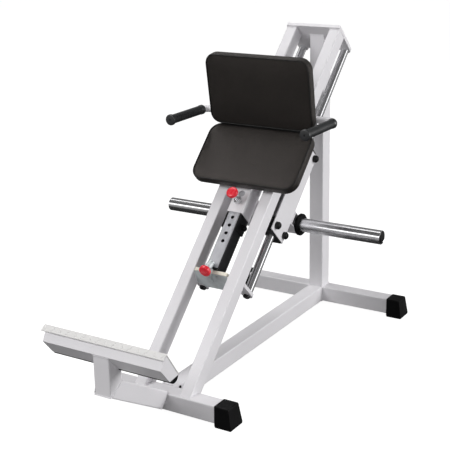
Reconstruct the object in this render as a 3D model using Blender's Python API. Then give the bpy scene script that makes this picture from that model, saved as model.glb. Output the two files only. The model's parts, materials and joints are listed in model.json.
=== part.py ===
"""Plate-loaded seated sled: a padded seat carriage runs on two inclined guide rods above a
narrow angled footplate. X is across the machine, -Y is the footplate end, +Y is the mast end,
Z is up and the floor is Z = 0. Metres."""

import math

import bmesh
import bpy
from mathutils import Vector

# ---- driving dimensions -------------------------------------------------------------------
GAP = 0.0003                 # clearance between pieces that touch
TUBE = 0.060                 # square tube of the base, mast and footplate arm
WALL = 0.003
CORNER = 0.004               # outside corner radius of the tubes
PAST = 0.010                 # cutters reach this far past what they cut
FLOOR_GAP = 0.012            # underside of the base tubes above the floor
TOP_Z = FLOOR_GAP + TUBE     # top of the base tubes

BASE_CENTRE = 0.4438         # this far behind the front face of the front crossbar is Y = 0
BASE_LENGTH = 1.096          # front face of the front crossbar to that of the rear one
FRONT_HALF = 0.207           # half length of the front crossbar
REAR_HALF = 0.309

SLOPE = math.radians(44.57)  # rails and rods above the floor
FOOT_Y, FOOT_Z = 0.0082, 0.0693   # where the rails' front plane starts (s = 0, n = 0)
RAIL_X = 0.089               # centre plane of each rail, rod and runner
RAIL_W, RAIL_D = 0.042, 0.0545
PLATE_S = 1.4845             # underside of the top plate, along the rails
PLATE_T = 0.0135
ROD_N = -0.1278              # rod axis, behind the rails' front plane
ROD_R = 0.015
BRACKET_S, BRACKET_T = 0.434, 0.012
NUT_R, NUT_L = 0.0122, 0.0080    # screw head under each rod

RUN_HALF_W = 0.024           # runner channel: half width, front and back faces, ends
RUN_N1, RUN_N0 = -0.0733, -0.1862
RUN_S0, RUN_S1 = 0.6745, 1.0405
RUN_WALL = 0.003

SPINE_N1, SPINE_N0 = 0.0130, -0.0595
SPINE_S0, SPINE_S1 = 0.6735, 1.0500
STOP_HALF = 0.0235
STOP_N1, STOP_N0 = 0.0088, -0.0512
STOP_S0, STOP_S1 = 0.4590, 0.8600
HOLE_S, HOLE_STEP, HOLE_R = 0.7165, 0.0312, 0.0065
PIN_R = 0.0050
KNOB_R = 0.0205
ACCESS_R = 0.0125              # round opening of the spine, one hole step above the pin

SLEEVE_S, SLEEVE_N = 0.7867, -0.2391
SLEEVE_R, SLEEVE_X0, SLEEVE_X1 = 0.025, 0.1163, 0.4395
COLLAR_R, COLLAR_T = 0.0400, 0.0140

SEAT_HALF, SEAT_S0, SEAT_S1 = 0.2095, 0.7630, 1.0005
SEAT_N0, SEAT_N1 = 0.0133, 0.0562
BOARD = 0.0095
LEAN = math.radians(8.53)    # the back pad leans forward at the top
BACK_Y, BACK_Z = 0.6417, 0.9700   # a point on the back pad's front face
BACK_HALF, BACK_LOW, BACK_HIGH, BACK_D = 0.2066, -0.1635, 0.0952, 0.0446
BAR_Y, BAR_Z, BAR_R = 0.7245, 0.8450, 0.0125
GRIP_X, GRIP_Y0, GRIP_Y1, GRIP_R = 0.2655, 0.4930, 0.7000, 0.0163
GRIP_END_R = 0.0197

ARM = math.radians(30.7)     # footplate arm rises towards the front
PITCH = math.radians(55.8)   # tread surface falls towards the rear
RIDGE = (-0.2612, 0.3597)    # Y, Z of the tread's ridge
TREAD_L, LIP_L, TREAD_T = 0.1036, 0.0243, 0.0040
TREAD_X0, TREAD_X1 = -0.2330, 0.2225
SUPPORT_X0, SUPPORT_X1 = -0.2190, 0.2203

for old in list(bpy.data.objects):
    bpy.data.objects.remove(old, do_unlink=True)
scene = bpy.context.scene


def material(name, colour, rough, metal=0.0):
    mat = bpy.data.materials.new(name)
    mat.use_nodes = True
    shader = mat.node_tree.nodes["Principled BSDF"]
    shader.inputs["Base Color"].default_value = (*colour, 1.0)
    shader.inputs["Roughness"].default_value = rough
    shader.inputs["Metallic"].default_value = metal
    mat.diffuse_color = (*colour, 1.0)
    return mat


WHITE = material("white_powder_coat", (0.78, 0.77, 0.78), 0.35)
CHROME = material("chrome", (0.80, 0.80, 0.82), 0.12, 1.0)
ZINC = material("zinc_tube", (0.52, 0.52, 0.55), 0.38, 0.8)
STEEL = material("steel_plain", (0.36, 0.38, 0.39), 0.40, 0.8)
RUBBER = material("black_rubber", (0.012, 0.012, 0.013), 0.60)
PLASTIC = material("black_plastic", (0.015, 0.015, 0.016), 0.40)
LEATHER = material("black_leatherette", (0.030, 0.027, 0.026), 0.48)
PLY = material("pad_board", (0.020, 0.020, 0.020), 0.70)
RED = material("red_knob", (0.80, 0.02, 0.04), 0.30)
TREAD = material("checker_plate", (0.62, 0.61, 0.60), 0.35, 0.7)
NYLON = material("cream_nylon", (0.75, 0.72, 0.63), 0.50)


def empty(name, location=(0, 0, 0), tilt=0.0, parent=None):
    node = bpy.data.objects.new(name, None)
    node.location = location
    node.rotation_euler = (tilt, 0, 0)
    node.parent = parent
    scene.collection.objects.link(node)
    return node


# Three local frames. "level": world axes, Y counted from the front crossbar's front face.
# "slope": x across, y up along the rails (s), z out of their front plane (n).
# "lean": x across, y backwards through the back pad, z up along it.
level = empty("frame_level", (0, -BASE_CENTRE, 0))
slope = empty("frame_slope", (0, FOOT_Y - BASE_CENTRE, FOOT_Z), SLOPE)
arm = empty("frame_arm", (0, -BASE_CENTRE, 0), -ARM)
carriage_level = empty("carriage_level", (0, -BASE_CENTRE, 0))
carriage = empty("carriage_slope", (0, FOOT_Y - BASE_CENTRE, FOOT_Z), SLOPE)
lean = empty("carriage_lean", (0, BACK_Y - BASE_CENTRE, BACK_Z), LEAN)
stop_slide = empty("stop_slide", (0, FOOT_Y - BASE_CENTRE, FOOT_Z), SLOPE)


def slope_point(s, n):
    """(Y, Z) in the level frame of a point given along and out of the rails."""
    c, d = math.cos(SLOPE), math.sin(SLOPE)
    return FOOT_Y + s * c - n * d, FOOT_Z + s * d + n * c


def add(name, bm, mat, parent, location=(0, 0, 0), tilt=0.0, smooth=False):
    bmesh.ops.recalc_face_normals(bm, faces=bm.faces)
    mesh = bpy.data.meshes.new(name)
    bm.to_mesh(mesh)
    bm.free()
    if smooth:
        mesh.shade_smooth()
        mesh.set_sharp_from_angle(angle=math.radians(35))
    mesh.materials.append(mat)
    obj = bpy.data.objects.new(name, mesh)
    obj.location = location
    obj.rotation_euler = (tilt, 0, 0)
    obj.parent = parent
    scene.collection.objects.link(obj)
    return obj


def rounded(u0, u1, v0, v1, radius, steps=2):
    """Outline of a rectangle with rounded corners, counter-clockwise."""
    points = []
    corners = [(u1, v1, 0), (u0, v1, 90), (u0, v0, 180), (u1, v0, 270)]
    for u, v, turn in corners:
        cu = u - radius if u == u1 else u + radius
        cv = v - radius if v == v1 else v + radius
        for k in range(steps + 1):
            a = math.radians(turn + 90 * k / steps)
            points.append((cu + radius * math.cos(a), cv + radius * math.sin(a)))
    return points


def rod_shape(start, end, radius):
    """Profile of a plain round bar, for turned()."""
    return [(start, 0), (start, radius), (end, radius), (end, 0)]


def circle(cu, cv, radius, count):
    step = 2 * math.pi / count
    return [(cu + radius * math.cos(k * step), cv + radius * math.sin(k * step))
            for k in range(count)]


PLACE = {
    "X": lambda u, v, t: (t, u, v),
    "Y": lambda u, v, t: (u, t, v),
    "Z": lambda u, v, t: (u, v, t),
}


def extrude(axis, outline, end0, end1, hole=None):
    """A bar along an axis. Each end is a position, or (position, slope in u, slope in v).
    With a hole of as many points as the outline, it is a tube open at both ends."""
    bm = bmesh.new()

    def at(end, u, v):
        if isinstance(end, tuple):
            return end[0] + end[1] * u + end[2] * v
        return end

    def loop(points, end):
        return [bm.verts.new(PLACE[axis](u, v, at(end, u, v))) for u, v in points]

    low, high = loop(outline, end0), loop(outline, end1)
    count = len(outline)
    for k in range(count):
        j = (k + 1) % count
        bm.faces.new((low[k], low[j], high[j], high[k]))
    if hole is None:
        bm.faces.new(low)
        bm.faces.new(high)
        return bm
    low_in, high_in = loop(hole, end0), loop(hole, end1)
    for k in range(count):
        j = (k + 1) % count
        bm.faces.new((low_in[k], high_in[k], high_in[j], low_in[j]))
        bm.faces.new((low[k], low_in[k], low_in[j], low[j]))
        bm.faces.new((high[k], high[j], high_in[j], high_in[k]))
    return bm


def square_tube(axis, u0, u1, v0, v1, end0, end1, wall=WALL, radius=CORNER):
    outer = rounded(u0, u1, v0, v1, radius)
    inner = rounded(u0 + wall, u1 - wall, v0 + wall, v1 - wall, max(radius - wall, 0.0006))
    return extrude(axis, outer, end0, end1, inner)


def turned(axis, profile, cu, cv, count):
    """A body turned about an axis: profile is (position, radius) from one end to the other,
    and closes on itself. A radius of 0 is a point on the axis."""
    bm = bmesh.new()
    rings = []
    for t, radius in profile:
        if radius == 0:
            rings.append([bm.verts.new(PLACE[axis](cu, cv, t))])
        else:
            rings.append([bm.verts.new(PLACE[axis](u, v, t))
                          for u, v in circle(cu, cv, radius, count)])
    pairs = list(zip(rings, rings[1:]))
    if len(rings[0]) > 1:
        pairs.append((rings[-1], rings[0]))
    for a, b in pairs:
        for k in range(count):
            j = (k + 1) % count
            face = [a[k % len(a)], a[j % len(a)], b[j % len(b)], b[k % len(b)]]
            face = list(dict.fromkeys(face))
            if len(face) > 2:
                bm.faces.new(face)
    return bm


def ease(obj, width, segments=1):
    """Rounds an object's edges a little."""
    mod = obj.modifiers.new("ease", "BEVEL")
    mod.width = width
    mod.segments = segments
    mod.limit_method = "ANGLE"
    return obj


def cutter(name, bm, parent):
    obj = add(name, bm, STEEL, parent)
    obj.hide_render = True
    obj.display_type = "WIRE"
    return obj


def boolean(obj, other, operation="DIFFERENCE"):
    mod = obj.modifiers.new(other.name, "BOOLEAN")
    mod.operation = operation
    mod.solver = "EXACT"
    mod.object = other
    return obj


HALF = TUBE / 2
SIDES = (("left", -1), ("right", 1))

# ---- base ---------------------------------------------------------------------------------
add("front_crossbar", square_tube("X", 0, TUBE, FLOOR_GAP, TOP_Z, -FRONT_HALF, FRONT_HALF),
    WHITE, level)
add("rear_crossbar",
    square_tube("X", BASE_LENGTH, BASE_LENGTH + TUBE, FLOOR_GAP, TOP_Z, -REAR_HALF, REAR_HALF),
    WHITE, level)
add("base_rail",
    square_tube("Y", -HALF, HALF, FLOOR_GAP, TOP_Z, TUBE + GAP, BASE_LENGTH - GAP),
    WHITE, level)

# The mast's top is cut to the slope of the top plate.
plate_y, plate_z = slope_point(PLATE_S - GAP, 0)
fall = -math.cos(SLOPE) / math.sin(SLOPE)
mast_top = (plate_z - fall * plate_y, 0.0, fall)
add("mast", square_tube("Z", -HALF, HALF, BASE_LENGTH, BASE_LENGTH + TUBE,
                        TOP_Z + GAP, mast_top), WHITE, level)


def foot(name, side, inner, front, back):
    """A tapered rubber block on a crossbar's end. It reaches the floor."""
    top, width = TOP_Z + 0.0015, 0.0525
    x0, x1 = inner + GAP, inner + width
    bm = bmesh.new()
    rows = []
    for z, x_in, x_out, y_f, y_b in (
        (0.0, x0 + 0.0030, x1 + 0.0095, front - 0.003, back + 0.009),
        (0.0070, x0 + 0.0005, x1 + 0.0105, front - 0.003, back + 0.009),
        (top - 0.003, x0, x1 + 0.0010, front - 0.0010, back + 0.0020),
        (top, x0, x1 - 0.0015, front + 0.0005, back + 0.0005),
    ):
        corners = ((x_in, y_f), (x_out, y_f), (x_out, y_b), (x_in, y_b))
        rows.append([bm.verts.new((side * x, y, z)) for x, y in corners])
    for a, b in zip(rows, rows[1:]):
        for k in range(4):
            j = (k + 1) % 4
            bm.faces.new((a[k], a[j], b[j], b[k]))
    bm.faces.new(rows[0])
    bm.faces.new(rows[-1])
    obj = add(name, bm, RUBBER, level)
    ease(obj, 0.0015, 2)


for word, side in SIDES:
    foot("foot_front_" + word, side, FRONT_HALF, 0.0, TUBE)
    foot("foot_rear_" + word, side, REAR_HALF, BASE_LENGTH, BASE_LENGTH + TUBE)

# ---- rails, rods and top plate ------------------------------------------------------------
notch_low = cutter("cut_below_rails",
                   extrude("X", [(-0.10, -0.10), (0.30, -0.10), (0.30, 0.0605), (-0.10, 0.0605)],
                           -0.2, 0.2), level)
notch_bar = cutter("cut_at_crossbar",
                   extrude("X", [(-0.10, -0.02), (TUBE + GAP, -0.02), (TUBE + GAP, TOP_Z + GAP),
                                 (-0.10, TOP_Z + GAP)], -0.2, 0.2), level)
for word, side in SIDES:
    middle = side * RAIL_X
    rail = add("rail_" + word,
               square_tube("Y", middle - RAIL_W / 2, middle + RAIL_W / 2, -RAIL_D, 0,
                           -0.060, PLATE_S - GAP, wall=0.0025, radius=0.0035), WHITE, slope)
    boolean(boolean(rail, notch_low), notch_bar)
    add("guide_rod_" + word,
        turned("Y", [(BRACKET_S + BRACKET_T + GAP, 0), (BRACKET_S + BRACKET_T + GAP, ROD_R),
                     (PLATE_S - GAP, ROD_R), (PLATE_S - GAP, 0)], middle, ROD_N, 32),
        CHROME, slope, smooth=True)
    # Lug with a rounded end round the rod, welded to the rail's back face.
    half = RAIL_W / 2
    lug = [(middle - half, -RAIL_D - GAP), (middle + half, -RAIL_D - GAP)]
    lug += [(middle + half * math.cos(math.radians(-18 * k)),
             ROD_N + half * math.sin(math.radians(-18 * k))) for k in range(11)]
    add("rod_lug_" + word, extrude("Y", lug, BRACKET_S, BRACKET_S + BRACKET_T), WHITE, slope)
    low = BRACKET_S - GAP
    add("rod_nut_" + word,
        turned("Y", [(low - NUT_L, 0), (low - NUT_L, NUT_R - 0.0015),
                     (low - NUT_L + 0.0015, NUT_R), (low, NUT_R), (low, 0)], middle, ROD_N, 20),
        PLASTIC, slope, smooth=True)

plate_half = RAIL_X + RAIL_W / 2
outline = [(-plate_half, 0.0060), (plate_half, 0.0060)]
outline += [(RAIL_X + RAIL_W / 2 * math.cos(math.radians(-18 * k)),
             ROD_N + RAIL_W / 2 * math.sin(math.radians(-18 * k))) for k in range(11)]
outline += [(0.060, -0.1340), (-0.060, -0.1340)]
outline += [(-RAIL_X + RAIL_W / 2 * math.cos(math.radians(-18 * k)),
             ROD_N + RAIL_W / 2 * math.sin(math.radians(-18 * k))) for k in range(11)]
ease(add("top_plate", extrude("Y", outline, PLATE_S, PLATE_S + PLATE_T), WHITE, slope), 0.001)

# ---- footplate on its arm -----------------------------------------------------------------
# The arm is a tube in the "arm" frame: y runs back and down along it, z out of its top face.
arm_top = 0.0820 * math.cos(ARM)                 # its top face, above the frame's origin line
slant = math.radians(47.5)                       # rear end, above the level, in the YZ plane


def arm_cut(y, z, angle):
    """End plane through (y, z) of the level frame at this angle, as a slope in the arm frame."""
    c, d = math.cos(ARM), math.sin(ARM)
    along, out = y * c - z * d, y * d + z * c
    tilt = angle + ARM
    run = math.cos(tilt) / math.sin(tilt)
    return along - run * out, 0.0, run


POST_Y0, POST_Y1 = -0.2878, -0.2278
mitre_low = (POST_Y0, 0.0820 - TUBE / math.cos(ARM) - POST_Y0 * math.tan(ARM))
mitre_high = (POST_Y1, 0.0820 - POST_Y1 * math.tan(ARM))
mitre = math.atan2(mitre_high[1] - mitre_low[1], mitre_high[0] - mitre_low[0])
add("footplate_arm",
    square_tube("Y", -HALF, HALF, arm_top - TUBE, arm_top,
                arm_cut(mitre_low[0] + GAP * 1.2, mitre_low[1] - GAP * 1.2, mitre),
                arm_cut(-0.0006, TOP_Z + 0.0006, slant)), WHITE, arm)
post_low = (mitre_low[1] - math.tan(mitre) * mitre_low[0], 0.0, math.tan(mitre))
post = add("footplate_post",
           square_tube("Z", -HALF, HALF, POST_Y0, POST_Y1, post_low, 0.330), WHITE, level)

back_y, back_z = RIDGE
down = (math.cos(PITCH), -math.sin(PITCH))       # along the tread, towards its low edge
inward = (-math.sin(PITCH), -math.cos(PITCH))    # into the support


def tread_point(along, depth):
    return (back_y + along * down[0] + depth * inward[0],
            back_z + along * down[1] + depth * inward[1])


skin = TREAD_T + GAP
LIP_SPACE = 0.0025            # open space between the lip and the support
support_outline = [tread_point(skin + LIP_SPACE, skin), tread_point(TREAD_L, skin),
                   (-0.2496, 0.2654), (-0.2915, 0.3160),
                   tread_point(skin + LIP_SPACE, skin + 0.0216)]
centre = (sum(p[0] for p in support_outline) / len(support_outline),
          sum(p[1] for p in support_outline) / len(support_outline))


def inset(points, by):
    """The same convex outline moved in by a wall thickness."""
    count = len(points)
    lines = []
    for k in range(count):
        (y0, z0), (y1, z1) = points[k], points[(k + 1) % count]
        dy, dz = y1 - y0, z1 - z0
        size = math.hypot(dy, dz)
        ny, nz = -dz / size, dy / size
        if (centre[0] - y0) * ny + (centre[1] - z0) * nz < 0:
            ny, nz = -ny, -nz
        lines.append((y0 + ny * by, z0 + nz * by, dy / size, dz / size))
    result = []
    for k in range(count):
        (ay, az, ady, adz), (by_, bz, bdy, bdz) = lines[k - 1], lines[k]
        det = ady * bdz - adz * bdy
        t = ((by_ - ay) * bdz - (bz - az) * bdy) / det
        result.append((ay + ady * t, az + adz * t))
    return result


support = add("footplate_support", extrude("X", support_outline, SUPPORT_X0, SUPPORT_X1),
              WHITE, level)
hollow = inset(support_outline, WALL)
boolean(support, cutter("cut_support_hollow",
                        extrude("X", hollow, SUPPORT_X0 + WALL, SUPPORT_X1 - WALL), level))
boolean(support, cutter("cut_support_drain",
                        extrude("X", [(-0.280, 0.250), (-0.250, 0.250), (-0.250, 0.300),
                                      (-0.280, 0.310)], -0.018, 0.018), level))
grown = inset(support_outline, -GAP)
high = [grown[2], grown[3], (grown[3][0] - 0.02, 0.50), (grown[1][0] + 0.05, 0.50),
        (grown[1][0] + 0.05, grown[1][1] + 0.05 * 0.15), grown[1]]
boolean(post, cutter("cut_post_top", extrude("X", high, -0.1, 0.1), level))

sheet = [tread_point(0, 0), tread_point(TREAD_L + 0.001, 0), tread_point(TREAD_L + 0.001, TREAD_T),
         tread_point(TREAD_T, TREAD_T), tread_point(TREAD_T, LIP_L), tread_point(0, LIP_L)]
tread = add("footplate_tread", extrude("X", sheet, TREAD_X0, TREAD_X1), TREAD, level)
ease(tread, 0.0012)
low_line = math.atan2(0.2654 - support_outline[1][1], -0.2496 - support_outline[1][0])
along_low = (math.cos(low_line), math.sin(low_line))
out_low = (along_low[1], -along_low[0])
if out_low[1] > 0:
    out_low = (-out_low[0], -out_low[1])


STRIP_L, STRIP_T = 0.0400, 0.0160     # round-backed rubber strip


def low_point(t, drop):
    return (support_outline[1][0] + along_low[0] * t + out_low[0] * drop,
            support_outline[1][1] + along_low[1] * t + out_low[1] * drop)


strip = [low_point(0, GAP)]
strip += [low_point(STRIP_L / 2 * (1 + math.cos(math.radians(30 * k))),
                    GAP + STRIP_T * math.sin(math.radians(30 * k))) for k in range(6)]
post_room = cutter("cut_strip_at_post",
                   extrude("X", [(POST_Y0 - 0.01, 0.20), (POST_Y1 + GAP, 0.20),
                                 (POST_Y1 + GAP, 0.30), (POST_Y0 - 0.01, 0.30)],
                           -HALF - GAP, HALF + GAP), level)
boolean(add("footplate_edge_strip", extrude("X", strip, SUPPORT_X0, SUPPORT_X1),
            RUBBER, level), post_room)

# Wedge that closes the notch between the arm's slanted end and the crossbar's front face.
wedge = [(-GAP, TOP_Z - 0.004), (-GAP, 0.0345), (-0.0300, 0.0375)]
add("arm_gusset", extrude("X", wedge, -0.024, 0.024), WHITE, level)

# ---- lower stop between the rails, with its pull pin ---------------------------------------
block_half = RAIL_X - RAIL_W / 2 - GAP
BLOCK_S, BLOCK_N = 0.4362, 0.0033      # the block's front upper edge
BLOCK_LOW_S, BLOCK_LOW_N = 0.4107, -0.0620
BLOCK_T = 0.0080
BLOCK_MID = 0.0300                     # half the width left between its cut lower corners
face_l = math.hypot(BLOCK_S - BLOCK_LOW_S, BLOCK_N - BLOCK_LOW_N)
face_s, face_n = (BLOCK_LOW_S - BLOCK_S) / face_l, (BLOCK_LOW_N - BLOCK_N) / face_l


def block_face(down, out=0.0):
    """A point of the section, this far down the steep front face and out from it."""
    return BLOCK_S + face_s * down + face_n * out, BLOCK_N + face_n * down - face_s * out


block_section = [block_face(0), block_face(face_l), block_face(face_l, -BLOCK_T),
                 (BLOCK_S - BLOCK_T, -0.0470), (BLOCK_S, -0.0470)]
block = add("stop_block", extrude("X", block_section, -block_half, block_half), STEEL, slope)
ease(block, 0.0010)
for word, side in SIDES:
    corner = [(side * BLOCK_MID, BLOCK_LOW_N), (side * 0.0700, BLOCK_LOW_N + 0.0150),
              (side * 0.0700, BLOCK_LOW_N - 0.0100), (side * BLOCK_MID, BLOCK_LOW_N - 0.0100)]
    boolean(block, cutter("cut_block_corner_" + word, extrude("Y", corner, 0.40, 0.44), slope))
boolean(block, cutter("cut_block_slot",
                      extrude("Z", rounded(0.0195, 0.0290, 0.4316, 0.4338, 0.0010, 3),
                              -0.0300, 0.0100), slope))
PAD_S0, PAD_S1, PAD_HALF = 0.4365, 0.4500, 0.0625
add("stop_pad", extrude("X", [(PAD_S0, -0.0450), (PAD_S0, 0.0050), (PAD_S1 - 0.0015, 0.0050),
                              (PAD_S1, 0.0030), (PAD_S1, -0.0450)], -PAD_HALF, PAD_HALF),
    NYLON, slope)

# Lower pin: its axis leaves the stop tube's face and points forward and a little down.
PIN_DS, PIN_DN = -0.9200, 0.3919
PIN_S, PIN_N = 0.4690, 0.0208
pin_tilt = math.atan2(PIN_DN, PIN_DS) - math.pi / 2


def pin_frame(name):
    """Local z runs out along the pin. The origin is on its axis at the barrel's inner end."""
    y, z = slope_point(PIN_S, PIN_N)
    return empty(name, (0, y - BASE_CENTRE, z), SLOPE + pin_tilt)


BARREL_R, BARREL_L = 0.0120, 0.0310
LOWER_PIN_END = 0.0420
LOWER_KNOB_START = BARREL_L + 0.0035
barrel_frame = pin_frame("barrel_frame")
lower_pin_frame = pin_frame("lower_pin_axis")
add("pin_barrel", turned("Z", [(0, PIN_R + GAP), (0, BARREL_R - 0.001), (0.0015, BARREL_R),
                               (BARREL_L - 0.001, BARREL_R), (BARREL_L, BARREL_R - 0.001),
                               (BARREL_L, PIN_R + GAP)],
                         0, 0, 24), STEEL, barrel_frame, smooth=True)
add("lower_pin", turned("Z", [(0.0015, 0), (0.0015, PIN_R - 0.0015), (0.0030, PIN_R),
                              (LOWER_PIN_END, PIN_R), (LOWER_PIN_END, 0)],
                        0, 0, 16), CHROME, lower_pin_frame, smooth=True)


def knob_profile(z0, pin_end):
    """A mushroom knob that starts at z0, with a blind bore over the pin's end."""
    bore = PIN_R + GAP
    return [(z0, bore), (z0, KNOB_R * 0.75), (z0 + 0.0025, KNOB_R), (z0 + 0.0145, KNOB_R),
            (z0 + 0.0175, KNOB_R * 0.90), (z0 + 0.0190, KNOB_R * 0.66), (z0 + 0.0190, 0),
            (pin_end + GAP, 0), (pin_end + GAP, bore)]


add("lower_knob", turned("Z", knob_profile(LOWER_KNOB_START, LOWER_PIN_END), 0, 0, 28), RED,
    lower_pin_frame, smooth=True)


def below_barrel(s_at, extra):
    """n just under the barrel at this s."""
    t = (s_at - PIN_S + PIN_DN * BARREL_R) / PIN_DS
    return PIN_N + PIN_DN * t + PIN_DS * BARREL_R - extra


lug = [block_face(0.0360, GAP), block_face(0.0003, GAP), (0.4345, 0.0063), (0.4495, 0.0063),
       (0.4495, below_barrel(0.4495, 0.0005)), (0.4365, below_barrel(0.4365, 0.0005)),
       block_face(0.0080, 0.0120), block_face(0.0300, 0.0080)]
add("pin_bracket", extrude("X", lug, -0.008, 0.008), STEEL, slope)

# ---- carriage: spine, runners, bearings ----------------------------------------------------
spine = add("spine", square_tube("Y", -HALF, HALF, SPINE_N0, SPINE_N1, SPINE_S0, SPINE_S1),
            WHITE, carriage)
boolean(spine, cutter("cut_spine_pin",
                      turned("Z", rod_shape(0.0020, 0.0200, PIN_R + 2 * GAP), 0, HOLE_S, 16),
                      carriage))
boolean(spine, cutter("cut_spine_access",
                      turned("Z", rod_shape(0.0092, 0.0200, ACCESS_R), 0, HOLE_S + HOLE_STEP, 24),
                      carriage))
# U-shaped glide inside the spine's lower end: its sides and back reach out below it.
side_in, side_out = STOP_HALF + GAP, HALF - WALL - GAP
back_in, back_out = STOP_N0 - GAP, SPINE_N0 + WALL + GAP
glide = [(-side_out, SPINE_N1 - WALL - GAP), (-side_out, back_out), (side_out, back_out),
         (side_out, SPINE_N1 - WALL - GAP), (side_in, SPINE_N1 - WALL - GAP),
         (side_in, back_in), (-side_in, back_in), (-side_in, SPINE_N1 - WALL - GAP)]
GLIDE_S0, GLIDE_S1 = 0.6160, 0.7800
SCREW_S, SCREW_N, SCREW_R, SCREW_L = 0.6400, -0.0380, 0.0100, 0.0130
add("stop_glide", extrude("Y", glide, GLIDE_S0, GLIDE_S1), PLASTIC, carriage)
add("glide_screw", turned("X", [(side_out + GAP, 0), (side_out + GAP, SCREW_R),
                                (side_out + SCREW_L - 0.003, SCREW_R),
                                (side_out + SCREW_L, SCREW_R - 0.003), (side_out + SCREW_L, 0)],
                          SCREW_S, SCREW_N, 16),
    PLASTIC, carriage, smooth=True)

cross_half = RAIL_X - RUN_HALF_W - GAP
for word, s in (("lower", 0.7200), ("upper", 0.9700)):
    add("cross_tube_" + word,
        square_tube("X", s, s + 0.045, SPINE_N0 - GAP - 0.045, SPINE_N0 - GAP,
                    -cross_half, cross_half, radius=0.0035), WHITE, carriage)

BOLT_S = {"lower": 0.7008, "upper": 1.0246}
BOLT_N = (-0.0970, -0.1706)
BEARING_BELOW = {"lower": 0.0305, "upper": 0.0300}   # from the bolts to the block's lower end
BEARING_L = 0.0550
BEARING_HALF = 0.0205
BEARING_N = (-0.1780, -0.0800)
HEAD_R, HEAD_L = 0.0135, 0.0140
BOLT_R, BOLT_CLEAR_R = 0.0040, 0.0044
BOLT_IN = 0.0060                       # length of the bolt's stub inside the channel
for word, side in SIDES:
    middle = side * RAIL_X
    inner, outer = middle - side * RUN_HALF_W, middle + side * RUN_HALF_W
    wall = side * RUN_WALL
    channel = [(inner, RUN_N1), (inner, RUN_N0 + 0.002), (inner + side * 0.002, RUN_N0),
               (outer - side * 0.002, RUN_N0), (outer, RUN_N0 + 0.002), (outer, RUN_N1),
               (outer - wall, RUN_N1), (outer - wall, RUN_N0 + RUN_WALL),
               (inner + wall, RUN_N0 + RUN_WALL), (inner + wall, RUN_N1)]
    runner = add("runner_" + word, extrude("Y", channel, RUN_S0, RUN_S1), WHITE, carriage)
    for end, bolt_s in BOLT_S.items():
        low = bolt_s - BEARING_BELOW[end]
        block = add("bearing_%s_%s" % (end, word),
                    extrude("Y", rounded(middle - BEARING_HALF, middle + BEARING_HALF,
                                         *BEARING_N, CORNER), low, low + BEARING_L),
                    PLASTIC, carriage)
        boolean(block, cutter("cut_bore_%s_%s" % (end, word),
                              turned("Y", rod_shape(low - PAST, low + BEARING_L + PAST,
                                                    ROD_R + GAP), middle, ROD_N, 32), carriage))
        for k, n in enumerate(BOLT_N):
            reach, seat = outer - side * BOLT_IN, outer + side * GAP
            head_end = outer + side * HEAD_L
            bolt = turned("X", [(reach, 0), (reach, BOLT_R), (seat, BOLT_R), (seat, HEAD_R),
                                (head_end - side * 0.004, HEAD_R), (head_end, HEAD_R - 0.0035),
                                (head_end, 0)], bolt_s, n, 20)
            boolean(block, cutter("join_bolt_%s_%s_%d" % (end, word, k), bolt, carriage),
                    "UNION")
            clear = turned("X", rod_shape(reach, outer + side * BOLT_IN, BOLT_CLEAR_R),
                           bolt_s, n, 16)
            boolean(runner, cutter("cut_bolt_%s_%s_%d" % (end, word, k), clear, carriage))

# ---- carriage: plate sleeves ---------------------------------------------------------------
BAR_BELOW, BAR_ABOVE, BAR_BEHIND = 0.0290, 0.0210, 0.0260   # the cross tube round the sleeves
PLUG_IN, PLUG_OUT = 0.0200, 0.0020     # the end plug reaches into and out of the sleeve
add("sleeve_crossbar",
    square_tube("X", SLEEVE_S - BAR_BELOW, SLEEVE_S + BAR_ABOVE, SLEEVE_N - BAR_BEHIND,
                RUN_N0 - GAP,
                -SLEEVE_X0 + GAP, SLEEVE_X0 - GAP), WHITE, carriage)
for word, side in SIDES:
    x0, x1 = SLEEVE_X0, SLEEVE_X1
    add("sleeve_" + word,
        turned("X", [(side * x0, SLEEVE_R - WALL), (side * x0, SLEEVE_R),
                     (side * x1, SLEEVE_R), (side * x1, SLEEVE_R - WALL)],
               SLEEVE_S, SLEEVE_N, 36), CHROME, carriage, smooth=True)
    r_in = SLEEVE_R + GAP
    plug_r = SLEEVE_R - WALL - GAP
    add("sleeve_collar_" + word,
        turned("X", [(side * x0, r_in), (side * x0, COLLAR_R - 0.003),
                     (side * (x0 + 0.003), COLLAR_R), (side * (x0 + COLLAR_T - 0.003), COLLAR_R),
                     (side * (x0 + COLLAR_T), COLLAR_R - 0.003), (side * (x0 + COLLAR_T), r_in)],
               SLEEVE_S, SLEEVE_N, 36),
        RUBBER, carriage, smooth=True)
    add("sleeve_plug_" + word,
        turned("X", [(side * (x1 - PLUG_IN), 0), (side * (x1 - PLUG_IN), plug_r),
                     (side * (x1 + 0.0005), plug_r), (side * (x1 + PLUG_OUT), plug_r - PLUG_OUT),
                     (side * (x1 + PLUG_OUT), 0)], SLEEVE_S, SLEEVE_N, 36),
        PLASTIC, carriage, smooth=True)

# ---- carriage: seat, back and handles ------------------------------------------------------


SEAT_CORNER, BACK_CORNER, PAD_ROUND = 0.045, 0.040, 0.008
BOARD_IN = 0.010                       # the boards stay this far inside the pads' edges


def pad_body(axis, u0, u1, v0, v1, corner, t0, t1, mat, parent, name, round_edge):
    obj = add(name, extrude(axis, rounded(u0, u1, v0, v1, corner, 4), t0, t1), mat, parent)
    return ease(obj, round_edge, 2)


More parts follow.
